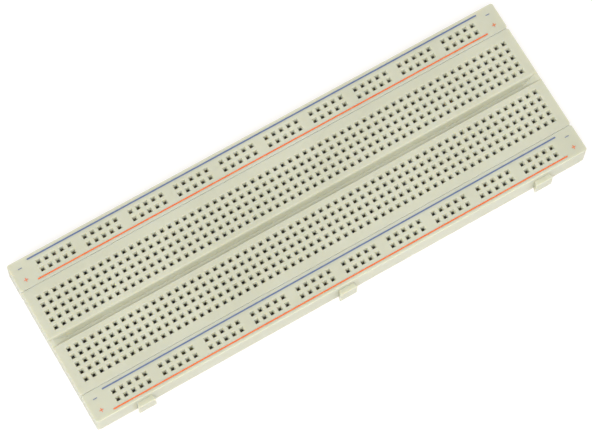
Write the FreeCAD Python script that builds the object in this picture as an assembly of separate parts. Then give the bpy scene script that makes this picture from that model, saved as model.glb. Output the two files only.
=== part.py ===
"""Solderless breadboard, full size: a terminal strip between two bus strips, each a moulded housing
full of sprung contact clips, held together by dovetails and backed with foam tape.

Frame, in millimetres: the origin is the middle of the underside, on the bottom of the release
liner. +X runs along the long side, +Y goes to the side with the dovetail slots, and +Z is up.
"""

import FreeCAD, Part
import os

# Contact grid
pitch = 2.54                    # between neighbouring tie points, 0.1 inch
columns = 63                    # tie-point columns of the terminal strip
rows = 5                        # tie points on each side of the centre channel
centre_pitches = 3              # pitches between the two rows beside the channel
bus_group = 5                   # tie points in one group of a bus row
bus_end_columns = 2             # least number of columns a bus row stops short at each end

# Housings
housing_height = 8.5            # moulded strip, underside to top face
skin = 1.6                      # top face, down to the roof of the clip pockets
rib = 0.64                      # wall between two neighbouring pockets
end_margin = 3.81               # last column to the end of the board
terminal_side_margin = 3.78     # outer row to the seam
bus_side_margin = 3.355         # bus row to the nearer long side
seam_gap = 0.05                 # between two strips that stand side by side
corner_radius = 0.8             # upright corners of every strip
top_edge_radius = 0.2           # edge round every top face

# Tie-point holes
hole_size = 0.9                 # square shaft
hole_mouth = 1.5                # square mouth of the funnel that leads a wire in
funnel_depth = 0.9

# Centre channel
channel_width = 2.3             # between its walls at the top
channel_floor = 1.0             # across its floor
channel_lip = 0.3               # bevel along each side of its mouth
channel_depth = 2.7
channel_end_depth = 0.3         # where it runs out through the ends
channel_ramp_start = 5.5        # from the end of the board to the foot of the ramp
channel_ramp_end = 1.2          # from the end of the board to the top of the ramp

# Dovetails
tab_count = 3
tab_root_width = 4.6
tab_tip_width = 5.8
tab_depth = 1.6                 # how far a tab stands out of the side
tab_height = 6.0                # up from the underside of the housing
tab_end_margin = 15.55          # middle of the outer tabs to the end of the board
tab_clearance = 0.15            # all round a tab in its slot

# Contact clips
sheet = 0.2                     # spring metal
clip_clearance = 0.15           # clip to pocket, on every side
clip_headroom = 0.5             # tips of the fingers to the roof of the pocket
finger_slit = 0.5               # between two neighbouring fingers
slit_foot = 1.2                 # bottom of the slits above the clip's base
shoulder = 2.0                  # where the fingers begin to lean in
contact_drop = 1.3              # tips to the line where the fingers nearly meet
contact_gap = 0.16              # between the two fingers of a pair
mouth_gap = 0.9                 # between their flared tips
clip_nodes = 21                 # groups that the clips of one terminal half are stored in

# Backing
foam = 1.0                      # double-sided foam tape
foam_inset = 0.3                # edge of the foam inside the edge of its housing
liner = 0.15                    # release paper
liner_inset = 0.2               # edge of the liner inside the edge of the board

# Derived sizes
over = 1.0                      # how far a cutter runs past the face that it opens
clip_z = liner + foam
top_z = clip_z + housing_height
roof_z = top_z - skin
board_length = (columns - 1) * pitch + 2 * end_margin
first_row = centre_pitches * pitch / 2
last_row = first_row + (rows - 1) * pitch
terminal_width = 2 * (last_row + terminal_side_margin)
bus_width = pitch + 2 * bus_side_margin
bus_centre = terminal_width / 2 + bus_width / 2
board_width = terminal_width + 2 * bus_width
finger = pitch - finger_slit
pocket_width = pitch - rib
pocket_end = finger / 2 + clip_clearance
clip_height = roof_z - clip_z - clip_headroom
column_x = [(i - (columns - 1) / 2) * pitch for i in range(columns)]
group_step = bus_group + 1
bus_groups = (columns - 2 * bus_end_columns + 1) // group_step
first_bus_column = (columns - bus_groups * group_step + 1) // 2
bus_x = [column_x[first_bus_column + g * group_step + k]
         for g in range(bus_groups) for k in range(bus_group)]
tab_span = board_length - 2 * tab_end_margin
tab_x = [(i / (tab_count - 1) - 0.5) * tab_span for i in range(tab_count)]


def box(x0, x1, y0, y1, z0, z1):
    """A box between two corners."""
    return Part.makeBox(x1 - x0, y1 - y0, z1 - z0, FreeCAD.Vector(x0, y0, z0))


def prism(points, direction):
    """A flat outline, pushed along a direction."""
    outline = [FreeCAD.Vector(*p) for p in points]
    return Part.Face(Part.makePolygon(outline + outline[:1])).extrude(FreeCAD.Vector(*direction))


def square(x, y, z, size):
    """A level square wire about a point."""
    half = size / 2
    corners = [(-half, -half), (half, -half), (half, half), (-half, half), (-half, -half)]
    return Part.makePolygon([FreeCAD.Vector(x + dx, y + dy, z) for dx, dy in corners])


def strip_block(width):
    """The outside of one strip, about the Y axis: a bar with rounded corners and top edges."""
    half_length = board_length / 2
    half_width = width / 2 - seam_gap / 2
    block = box(-half_length, half_length, -half_width, half_width, clip_z, top_z)
    upright = [e for e in block.Edges if abs(e.Vertexes[0].Z - e.Vertexes[1].Z) > housing_height / 2]
    block = block.makeFillet(corner_radius, upright)
    top = [e for e in block.Edges if e.BoundBox.ZMin > top_z - 0.001]
    return block.makeFillet(top_edge_radius, top)


def dovetails(side_y, clearance, z0, z1):
    """The row of dovetail tabs on the side at side_y, pointing to -Y. With a clearance, the slots."""
    root = tab_root_width / 2 + clearance
    tip = tab_tip_width / 2 + clearance
    depth = tab_depth + clearance
    flank = (tip - root) / depth
    inside = side_y + over
    inner = root - flank * over
    outline = [(-inner, inside), (-tip, side_y - depth), (tip, side_y - depth), (inner, inside)]
    return [prism([(x + dx, y, z0) for dx, y in outline], (0, 0, z1 - z0)) for x in tab_x]


def housing_block(width):
    """A strip with tabs on its -Y side and slots, closed at the top, in its +Y side."""
    near_side = -width / 2 + seam_gap / 2
    far_neighbour_side = width / 2 + seam_gap / 2
    tabs = dovetails(near_side, 0, clip_z, clip_z + tab_height)
    slots = dovetails(far_neighbour_side, tab_clearance, clip_z - over, clip_z + tab_height + tab_clearance)
    return strip_block(width).fuse(tabs).removeSplitter().cut(slots)


def tie_points(points):
    """The square holes at some points, each with its funnel, from above the top face into a pocket."""
    holes = []
    for x, y in points:
        half = hole_size / 2
        shaft = box(x - half, x + half, y - half, y + half, roof_z - over, top_z)
        foot = square(x, y, top_z - funnel_depth, hole_size)
        mouth = square(x, y, top_z + over, hole_mouth + (hole_mouth - hole_size) * over / funnel_depth)
        holes.append(shaft.fuse(Part.makeLoft([foot, mouth], True, True)).removeSplitter())
    return holes


def channel_cutter():
    """The centre channel: a shallow trough that ramps up towards its ends and runs out through them."""
    half_length = board_length / 2
    ramp_foot = half_length - channel_ramp_start
    ramp_top = half_length - channel_ramp_end
    floor_z = top_z - channel_depth
    end_z = top_z - channel_end_depth
    out = half_length + over
    side = [(-out, 0, top_z + over), (-out, 0, end_z), (-ramp_top, 0, end_z), (-ramp_foot, 0, floor_z),
            (ramp_foot, 0, floor_z), (ramp_top, 0, end_z), (out, 0, end_z), (out, 0, top_z + over)]
    length_shape = prism([(x, -channel_width, z) for x, _, z in side], (0, 2 * channel_width, 0))
    wall = [(channel_floor / 2, floor_z), (channel_width / 2, top_z - channel_lip),
            (channel_width / 2 + channel_lip + over, top_z + over)]
    section = wall + [(-y, z) for y, z in reversed(wall)]
    return length_shape.common(prism([(-out, y, z) for y, z in section], (2 * out, 0, 0)))


def terminal_housing():
    """The middle strip: one pocket under each row of five tie points, and the centre channel."""
    block = housing_block(terminal_width).cut(channel_cutter())
    half = pocket_width / 2
    pocket = box(-half, half, first_row - pocket_end, last_row + pocket_end, clip_z - over, roof_z)
    cutter = pocket.fuse(tie_points([(0, first_row + i * pitch) for i in range(rows)])).removeSplitter()
    to_near_half = -(first_row + last_row)
    cutters = [cutter.translated(FreeCAD.Vector(x, y, 0)) for x in column_x for y in (0, to_near_half)]
    return block.cut(cutters)


def bus_housing():
    """A bus strip, about the Y axis: a long pocket under each of its two rows of tie points."""
    half = pocket_width / 2
    cutters = []
    for y in (-pitch / 2, pitch / 2):
        pocket = box(bus_x[0] - pocket_end, bus_x[-1] + pocket_end, y - half, y + half,
                     clip_z - over, roof_z)
        cutters.append(pocket.fuse(tie_points([(x, y) for x in bus_x])).removeSplitter())
    return housing_block(bus_width).cut(cutters)


def clip(stations):
    """One contact clip along +X with a pair of fingers at each station: a folded trough of sheet metal
    whose slit sides lean together, nearly meet, and flare at their tips."""
    base = pocket_width / 2 - clip_clearance
    pinch = contact_gap / 2
    flare = mouth_gap / 2
    contact_z = clip_height - contact_drop
    outer = [(base, 0), (base, shoulder), (pinch + sheet, contact_z), (flare + sheet, clip_height)]
    inner = [(flare, clip_height), (pinch, contact_z), (base - sheet, shoulder), (base - sheet, sheet)]
    side = outer + inner
    section = side + [(-y, z) for y, z in reversed(side)]
    start = stations[0] - finger / 2
    end = stations[-1] + finger / 2
    metal = prism([(start, y, clip_z + z) for y, z in section], (end - start, 0, 0))
    slits = [box(a + finger / 2, b - finger / 2, -pitch, pitch, clip_z + slit_foot, top_z)
             for a, b in zip(stations, stations[1:])]
    return metal.cut(slits)


def terminal_clips(first_y):
    """The clips of one terminal half, in equal groups of neighbouring columns."""
    one = clip([i * pitch for i in range(rows)])
    one.rotate(FreeCAD.Vector(0, 0, 0), FreeCAD.Vector(0, 0, 1), 90)
    placed = [one.translated(FreeCAD.Vector(x, first_y, 0)) for x in column_x]
    ends = [g * columns // clip_nodes for g in range(clip_nodes + 1)]
    return [Part.makeCompound(placed[a:b]) for a, b in zip(ends, ends[1:])]


def foam_pad(width):
    """The foam tape under a strip, cut away under the slots so that the strip lifts off its tabs."""
    half_length = board_length / 2 - foam_inset
    half_width = width / 2 - seam_gap / 2 - foam_inset
    pad = box(-half_length, half_length, -half_width, half_width, liner, clip_z)
    far_neighbour_side = width / 2 + seam_gap / 2
    return pad.cut(dovetails(far_neighbour_side, tab_clearance, liner - over, clip_z + over))


def release_liner():
    """The single sheet of paper that covers the adhesive of all three pads."""
    half_length = board_length / 2 - liner_inset
    half_width = board_width / 2 - liner_inset
    return box(-half_length, half_length, -half_width, half_width, 0, liner)


parts = {
    "terminal_housing": terminal_housing(),
    "terminal_foam_pad": foam_pad(terminal_width),
    "release_liner": release_liner(),
}
bus_strip = {
    "housing": bus_housing(),
    "foam_pad": foam_pad(bus_width),
    "positive_clip": clip(bus_x).translated(FreeCAD.Vector(0, -pitch / 2, 0)),
    "negative_clip": clip(bus_x).translated(FreeCAD.Vector(0, pitch / 2, 0)),
}
for side, centre_y in (("far", bus_centre), ("near", -bus_centre)):
    for piece, shape in bus_strip.items():
        parts[f"{side}_bus_{piece}"] = shape.translated(FreeCAD.Vector(0, centre_y, 0))
for side, first_y in (("far", first_row), ("near", -last_row)):
    for number, group in enumerate(terminal_clips(first_y), 1):
        parts[f"terminal_clips_{side}_{number:02d}"] = group

os.makedirs("parts", exist_ok=True)
for name, shape in parts.items():
    shape.exportStep(f"parts/{name}.step")
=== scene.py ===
import math

import bmesh
import bpy
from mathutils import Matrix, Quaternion, Vector


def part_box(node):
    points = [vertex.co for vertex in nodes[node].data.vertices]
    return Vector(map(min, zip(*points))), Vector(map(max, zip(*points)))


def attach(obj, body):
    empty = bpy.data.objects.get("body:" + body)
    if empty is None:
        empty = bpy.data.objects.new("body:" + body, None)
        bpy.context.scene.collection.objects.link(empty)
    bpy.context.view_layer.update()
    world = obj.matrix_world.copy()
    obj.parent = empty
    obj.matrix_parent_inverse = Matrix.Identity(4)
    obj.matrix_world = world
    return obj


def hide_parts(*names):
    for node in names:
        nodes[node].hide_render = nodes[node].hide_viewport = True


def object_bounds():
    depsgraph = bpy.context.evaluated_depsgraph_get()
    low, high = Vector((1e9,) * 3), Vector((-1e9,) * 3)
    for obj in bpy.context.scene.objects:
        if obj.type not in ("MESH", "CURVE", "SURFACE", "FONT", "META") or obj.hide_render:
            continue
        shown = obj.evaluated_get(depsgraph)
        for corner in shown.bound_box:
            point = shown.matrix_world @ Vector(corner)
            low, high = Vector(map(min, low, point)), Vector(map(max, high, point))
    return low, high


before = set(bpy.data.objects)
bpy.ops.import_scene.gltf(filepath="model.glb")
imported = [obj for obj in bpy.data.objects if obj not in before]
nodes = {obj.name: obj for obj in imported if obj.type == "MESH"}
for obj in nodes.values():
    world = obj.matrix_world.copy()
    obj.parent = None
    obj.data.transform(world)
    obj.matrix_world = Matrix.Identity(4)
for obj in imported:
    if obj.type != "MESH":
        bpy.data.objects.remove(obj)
cad_low, cad_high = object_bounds()

# ---------------------------------------------------------------------------------------------------
# Housings. A terminal strip and two bus strips, moulded in ivory ABS with a fine satin grain. The
# mould leaves sharp edges slightly soft, and the thin skin over the clip pockets lets a little light
# through. Each strip's tabs sit in the slots of the next one.

ivory_shade = (0.600, 0.600, 0.470)
ivory_light = (0.650, 0.650, 0.520)
glow_depth = 0.0015
mould_edge_radius = 0.00005
softened_angle = math.radians(60)
same_point = 1e-6


def new_finish(name):
    """An empty material with its node tree and its shader."""
    finish = bpy.data.materials.new(name)
    finish.use_nodes = True
    return finish, finish.node_tree, finish.node_tree.nodes["Principled BSDF"]


def mottle(tree, lumps_per_metre, detail=2.0, squeeze=(1, 1, 1)):
    """Cloudy noise from 0 to 1, with that many lumps to the metre, in the board's own frame."""
    place = tree.nodes.new("ShaderNodeTexCoord")
    mapping = tree.nodes.new("ShaderNodeMapping")
    mapping.inputs["Scale"].default_value = squeeze
    tree.links.new(place.outputs["Object"], mapping.inputs["Vector"])
    noise = tree.nodes.new("ShaderNodeTexNoise")
    noise.inputs["Scale"].default_value = lumps_per_metre
    noise.inputs["Detail"].default_value = detail
    tree.links.new(mapping.outputs["Vector"], noise.inputs["Vector"])
    return noise.outputs["Fac"]


def blend_tones(tree, factor, low, high, start=0.3, stop=0.7):
    """Goes from one colour to another as the factor goes from start to stop."""
    ramp = tree.nodes.new("ShaderNodeValToRGB")
    first, last = ramp.color_ramp.elements
    first.position, first.color = start, (*low, 1)
    last.position, last.color = stop, (*high, 1)
    tree.links.new(factor, ramp.inputs["Fac"])
    return ramp.outputs["Color"]


def spread(tree, factor, low, high):
    """Turns a factor from 0 to 1 into a value from low to high."""
    span = tree.nodes.new("ShaderNodeMapRange")
    span.inputs["To Min"].default_value = low
    span.inputs["To Max"].default_value = high
    tree.links.new(factor, span.inputs["Value"])
    return span.outputs["Result"]


def raise_surface(tree, height, millimetres, under=None):
    """Bumps the surface by a height pattern, on top of another bump where one is given."""
    bump = tree.nodes.new("ShaderNodeBump")
    bump.inputs["Distance"].default_value = millimetres / 1000
    tree.links.new(height, bump.inputs["Height"])
    if under:
        tree.links.new(under, bump.inputs["Normal"])
    return bump.outputs["Normal"]


ivory, tree, shader = new_finish("ivory_abs")
resin_cloud = mottle(tree, 45, 3)
ivory_tone = blend_tones(tree, resin_cloud, ivory_shade, ivory_light)
tree.links.new(ivory_tone, shader.inputs["Base Color"])
handling = mottle(tree, 160, 5)
tree.links.new(spread(tree, handling, 0.36, 0.58), shader.inputs["Roughness"])
shader.inputs["Specular IOR Level"].default_value = 0.45
shader.inputs["Subsurface Weight"].default_value = 1.0
shader.inputs["Subsurface Radius"].default_value = (1.0, 0.9, 0.7)
shader.inputs["Subsurface Scale"].default_value = glow_depth
flow_waves = raise_surface(tree, mottle(tree, 60, 1), 0.05)
satin_grain = raise_surface(tree, mottle(tree, 6000, 2), 0.006, under=flow_waves)
tree.links.new(satin_grain, shader.inputs["Normal"])
for name in ("terminal_housing", "far_bus_housing", "near_bus_housing"):
    housing = nodes[name]
    housing.material_slots[0].material = ivory
    weld = housing.modifiers.new("weld", "WELD")
    weld.merge_threshold = same_point
    soften = housing.modifiers.new("soften", "BEVEL")
    soften.width = mould_edge_radius
    soften.segments = 1
    soften.limit_method = "ANGLE"
    soften.angle_limit = softened_angle
    soften.use_clamp_overlap = False

# ---------------------------------------------------------------------------------------------------
# Printed rails and polarity marks. Ink pad-printed on each bus strip: a red rail and plus signs along
# the positive row, a blue rail and minus signs along the negative row. The ink is a film 0.02 mm
# thick with rounded ends and a slightly ragged outline.

rail_length = 0.1527
rail_width = 0.00044
rail_from_centre = 0.00341
rail_end_radius = 0.45 * rail_width
rail_cuts = 90
mark_size = 0.0013
mark_stroke = 0.00022
mark_end_radius = 0.3 * mark_stroke
mark_from_middle = 0.0794
mark_from_centre = 0.0019
ink_film = 0.00002
ink_edge_waver = 0.000012
ink_tones = {"red": ((0.87, 0.240, 0.065), (0.85, 0.150, 0.022)),
             "blue": ((0.150, 0.205, 0.340), (0.110, 0.160, 0.310))}


def start_editing(piece):
    """Opens one piece, alone, in edit mode with nothing selected."""
    bpy.ops.object.select_all(action="DESELECT")
    piece.select_set(True)
    bpy.context.view_layer.objects.active = piece
    bpy.ops.object.mode_set(mode="EDIT")
    bpy.ops.mesh.select_all(action="DESELECT")


def pick(rule):
    """Selects the points of the piece being edited that a rule on their place lets through."""
    piece = bpy.context.object
    bpy.ops.mesh.select_mode(type="VERT")
    bpy.ops.mesh.select_all(action="DESELECT")
    points = bmesh.from_edit_mesh(piece.data)
    for point in points.verts:
        point.select_set(bool(rule(point.co)))
    points.select_flush(True)
    bmesh.update_edit_mesh(piece.data)


def start_sheet(name, x, y, z, length, width):
    """A flat sheet with its place in its mesh, open for editing."""
    bpy.ops.object.select_all(action="DESELECT")
    bpy.ops.mesh.primitive_plane_add(size=1, location=(x, y, z))
    sheet = bpy.context.object
    sheet.name = name
    sheet.scale = (length, width, 1)
    bpy.ops.object.transform_apply(location=True, rotation=True, scale=True)
    start_editing(sheet)
    return sheet


def thicken(height):
    """Pushes the whole flat outline being edited up into a closed solid, and closes the editing."""
    bpy.ops.mesh.select_all(action="SELECT")
    bpy.ops.mesh.extrude_region_move(TRANSFORM_OT_translate={"value": (0, 0, height)})
    bpy.ops.mesh.select_all(action="SELECT")
    bpy.ops.mesh.normals_make_consistent(inside=False)
    bpy.ops.object.mode_set(mode="OBJECT")


def printed_rail(y, z):
    """One long rail of ink: a strip with rounded ends and a slightly ragged outline."""
    rail = start_sheet("rail", 0, y, z, rail_length, rail_width)
    bpy.ops.mesh.select_all(action="SELECT")
    bpy.ops.mesh.bevel(offset=rail_end_radius, segments=5, affect="VERTICES")
    pick(lambda p: abs(p.x) < rail_length / 2 - rail_end_radius + same_point)
    bpy.ops.mesh.subdivide(number_cuts=rail_cuts)
    pick(lambda p: True)
    bpy.ops.transform.vertex_random(offset=ink_edge_waver, seed=4)
    bpy.ops.transform.resize(value=(1, 1, 0), center_override=(0, y, z))
    thicken(ink_film)
    return rail


def printed_mark(x, y, z, upright):
    """A minus sign of ink, or a plus sign if it is to have its upright stroke too."""
    mark = start_sheet("mark", x, y, z, mark_stroke, mark_stroke)
    arm = (mark_size - mark_stroke) / 2
    side = mark_stroke / 2 - same_point
    strokes = [(1, 0), (-1, 0)] + ([(0, 1), (0, -1)] if upright else [])
    for dx, dy in strokes:
        pick(lambda p: (p.x - x) * dx + (p.y - y) * dy > side and
             abs((p.x - x) * dy) + abs((p.y - y) * dx) < mark_stroke)
        bpy.ops.mesh.extrude_region_move(TRANSFORM_OT_translate={"value": (dx * arm, dy * arm, 0)})
    pick(lambda p: max(abs(p.x - x), abs(p.y - y)) > mark_stroke)
    bpy.ops.mesh.bevel(offset=mark_end_radius, segments=3, affect="VERTICES")
    thicken(ink_film)
    return mark


inks = {}
for colour, (worn, full) in ink_tones.items():
    inks[colour], tree, shader = new_finish(f"{colour}_ink")
    coverage = mottle(tree, 2600, 4, (0.25, 1, 1))
    tree.links.new(blend_tones(tree, coverage, worn, full, 0.35, 0.55), shader.inputs["Base Color"])
    tree.links.new(spread(tree, coverage, 0.35, 0.60), shader.inputs["Roughness"])
    tree.links.new(raise_surface(tree, coverage, 0.004), shader.inputs["Normal"])

for strip in ("far_bus", "near_bus"):
    low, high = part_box(f"{strip}_positive_clip")
    positive_row = (low.y + high.y) / 2
    low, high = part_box(f"{strip}_negative_clip")
    negative_row = (low.y + high.y) / 2
    centre = (positive_row + negative_row) / 2
    printed_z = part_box(f"{strip}_housing")[1].z - ink_film / 4
    for colour, side in (("red", -1), ("blue", 1)):
        printed = [printed_rail(centre + side * rail_from_centre, printed_z)]
        mark_y = centre + side * mark_from_centre
        for x in (-mark_from_middle, mark_from_middle):
            printed.append(printed_mark(x, mark_y, printed_z, upright=colour == "red"))
        bpy.ops.object.select_all(action="DESELECT")
        for film in printed:
            film.select_set(True)
        bpy.context.view_layer.objects.active = printed[0]
        bpy.ops.object.join()
        print_run = bpy.context.object
        print_run.name = f"{strip}_{colour}_print"
        print_run.data.materials.append(inks[colour])
        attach(print_run, f"{strip}_strip")

# ---------------------------------------------------------------------------------------------------
# Contact clips. Each is one stamping of thin spring metal, folded into a trough whose slit sides lean
# together to grip a lead, and nickel plated. It drops into its pocket from below, and the foam tape
# under the board keeps it there.

nickel_dull = (0.50, 0.47, 0.41)
nickel_bright = (0.68, 0.66, 0.61)

nickel, tree, shader = new_finish("nickel_plate")
shader.inputs["Metallic"].default_value = 1.0
tarnish = mottle(tree, 700, 4)
nickel_tone = blend_tones(tree, tarnish, nickel_dull, nickel_bright)
tree.links.new(nickel_tone, shader.inputs["Base Color"])
tree.links.new(spread(tree, tarnish, 0.42, 0.24), shader.inputs["Roughness"])
rolling_marks = mottle(tree, 3000, 2, (1, 1, 0.08))
tree.links.new(raise_surface(tree, rolling_marks, 0.004), shader.inputs["Normal"])
for name, clip in nodes.items():
    if "clip" in name:
        clip.material_slots[0].material = nickel

# ---------------------------------------------------------------------------------------------------
# Foam tape. One pad of white closed-cell foam stuck under each strip, knife-cut along the strip and
# round its dovetail slots. The cut sides are slightly ragged, with open cells, and bulge a little.

slot_places = (-0.067, 0, 0.067)
slot_back_width = 0.0062
slot_mouth_width = 0.0052
slot_notch_depth = 0.00145
cell_size = 0.0005
cell_layers = 4
cut_raggedness = 0.00005
foam_bulge = 0.00006
beside = 1e-5
foam_shade = (0.70, 0.69, 0.64)
foam_light = (0.86, 0.86, 0.83)

foam, tree, shader = new_finish("white_foam")
cells = mottle(tree, 3500, 3)
foam_tone = blend_tones(tree, cells, foam_shade, foam_light)
tree.links.new(foam_tone, shader.inputs["Base Color"])
tree.links.new(spread(tree, cells, 0.98, 0.80), shader.inputs["Roughness"])
shader.inputs["Specular IOR Level"].default_value = 0.2
shader.inputs["Subsurface Weight"].default_value = 0.3
shader.inputs["Subsurface Scale"].default_value = 0.0006
tree.links.new(raise_surface(tree, cells, 0.12), shader.inputs["Normal"])


def pad_outline(name, low, high):
    """The flat outline of a pad between two corners, notched along its +Y side, open for editing."""
    pad = start_sheet(name, 0, (low.y + high.y) / 2, low.z, high.x - low.x, high.y - low.y)
    notch_back = high.y - slot_notch_depth
    bpy.ops.mesh.select_all(action="SELECT")
    bpy.ops.mesh.bisect(plane_co=(0, notch_back, 0), plane_no=(0, 1, 0))
    for x in slot_places:
        for cut_x in (x - slot_back_width / 2, x + slot_back_width / 2):
            bpy.ops.mesh.select_all(action="SELECT")
            bpy.ops.mesh.bisect(plane_co=(cut_x, 0, 0), plane_no=(1, 0, 0))
    flare = (slot_back_width - slot_mouth_width) / 2
    for x in slot_places:
        pick(lambda p: abs(p.x - x) < slot_back_width / 2 + beside and p.y > notch_back - beside)
        bpy.ops.mesh.delete(type="ONLY_FACE")
        for side in (-1, 1):
            corner_x = x + side * slot_back_width / 2
            pick(lambda p: abs(p.x - corner_x) < beside and p.y > high.y - beside)
            bpy.ops.transform.translate(value=(-side * flare, 0, 0))
        pick(lambda p: abs(p.x - x) < slot_mouth_width / 2 + beside and p.y > high.y - beside)
        bpy.ops.mesh.delete(type="EDGE_FACE")
    bpy.ops.mesh.select_all(action="SELECT")
    bpy.ops.mesh.dissolve_limited(angle_limit=math.radians(1))
    bpy.ops.mesh.select_all(action="SELECT")
    bpy.ops.mesh.delete(type="ONLY_FACE")
    return pad


for node, body in (("far_bus_foam_pad", "far_bus_strip"), ("terminal_foam_pad", "terminal_strip"),
                   ("near_bus_foam_pad", "near_bus_strip")):
    low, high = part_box(node)
    pad = pad_outline(f"{node}_cut", low, high)
    longest = high.x - low.x
    while longest > cell_size:
        outline = bmesh.from_edit_mesh(pad.data)
        bpy.ops.mesh.select_mode(type="EDGE")
        bpy.ops.mesh.select_all(action="DESELECT")
        for edge in outline.edges:
            edge.select_set(edge.calc_length() > cell_size)
        bmesh.update_edit_mesh(pad.data)
        bpy.ops.mesh.subdivide(number_cuts=1)
        longest /= 2
    bpy.ops.mesh.select_all(action="SELECT")
    rise = (high.z - low.z) / cell_layers
    for _ in range(cell_layers):
        bpy.ops.mesh.extrude_region_move(TRANSFORM_OT_translate={"value": (0, 0, rise)})
    bpy.ops.mesh.edge_face_add()
    pick(lambda p: p.z < low.z + same_point)
    bpy.ops.mesh.edge_face_add()
    bpy.ops.mesh.select_all(action="SELECT")
    bpy.ops.mesh.normals_make_consistent(inside=False)
    pick(lambda p: low.z + beside < p.z < high.z - beside)
    bpy.ops.transform.shrink_fatten(value=foam_bulge)
    bpy.ops.transform.vertex_random(offset=cut_raggedness, normal=1, seed=11)
    bpy.ops.object.mode_set(mode="OBJECT")
    pad.data.materials.append(foam)
    bpy.ops.object.shade_smooth_by_angle(angle=math.radians(50))
    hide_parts(node)
    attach(pad, body)

# ---------------------------------------------------------------------------------------------------
# Release liner. One sheet of waxed paper with rounded corners, over the adhesive of all three pads,
# left on until the board is stuck down.

liner_corner = 0.0012
paper_shade = (0.70, 0.66, 0.53)
paper_light = (0.80, 0.77, 0.66)

low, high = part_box("release_liner")
liner = start_sheet("release_liner_paper", 0, 0, low.z, high.x - low.x, high.y - low.y)
bpy.ops.mesh.select_all(action="SELECT")
bpy.ops.mesh.bevel(offset=liner_corner, segments=6, affect="VERTICES")
thicken(high.z - low.z)

waxed_paper, tree, shader = new_finish("waxed_paper")
fibres = mottle(tree, 900, 5, (1, 0.35, 1))
paper_tone = blend_tones(tree, fibres, paper_shade, paper_light)
tree.links.new(paper_tone, shader.inputs["Base Color"])
tree.links.new(spread(tree, fibres, 0.30, 0.48), shader.inputs["Roughness"])
shader.inputs["Coat Weight"].default_value = 0.25
shader.inputs["Coat Roughness"].default_value = 0.3
cockle = raise_surface(tree, mottle(tree, 40, 2), 0.25)
tree.links.new(raise_surface(tree, fibres, 0.01, under=cockle), shader.inputs["Normal"])
liner.data.materials.append(waxed_paper)
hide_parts("release_liner")
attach(liner, "far_bus_strip")

# ---------------------------------------------------------------------------------------------------
# Floor, lights and camera. A lit white table under an even studio sky, with one broad lamp above the
# board's near left side. The camera looks down on the board from the near left.

floor_size = 6
floor_below_board = 0.00005
sky_strength = 0.62
lamp_place = Vector((-0.26, -0.40, 1.0))
lamp_size = 0.6
lamp_watts = 7.6

bpy.ops.object.select_all(action="DESELECT")
bpy.ops.mesh.primitive_plane_add(size=floor_size, location=(0, 0, cad_low.z - floor_below_board))
floor = bpy.context.object
floor.name = "floor"
white_table, tree, shader = new_finish("white_table")
shader.inputs["Base Color"].default_value = (0.50, 0.50, 0.50, 1)
shader.inputs["Roughness"].default_value = 0.9
shader.inputs["Emission Color"].default_value = (1, 0.97, 0.95, 1)
shader.inputs["Emission Strength"].default_value = 0.57
floor.data.materials.append(white_table)

world = bpy.data.worlds.new("studio")
bpy.context.scene.world = world
world.use_nodes = True
sky = world.node_tree.nodes["Background"]
sky.inputs["Color"].default_value = (1, 1, 1, 1)
sky.inputs["Strength"].default_value = sky_strength
bpy.ops.object.light_add(type="AREA", location=lamp_place)
lamp = bpy.context.object
lamp.data.size = lamp_size
lamp.data.energy = lamp_watts
lamp.rotation_euler = (-lamp_place).to_track_quat("-Z", "Y").to_euler()
bpy.context.scene.view_settings.view_transform = "Standard"

aim = Vector((-0.00246, -0.00234, cad_high.z))
azimuth = math.radians(-32.65)
elevation = math.radians(71.66)
roll = math.radians(2.46)
distance = 0.7988
level = math.cos(elevation)
back = Vector((math.sin(azimuth) * level, -math.cos(azimuth) * level, math.sin(elevation)))
bpy.ops.object.camera_add()
camera = bpy.context.object
camera.rotation_mode = "QUATERNION"
camera.rotation_quaternion = back.to_track_quat("Z", "Y") @ Quaternion((0, 0, 1), roll)
camera.location = aim + back * distance
camera.data.sensor_width = 36
camera.data.lens = 166.7
bpy.context.scene.camera = camera
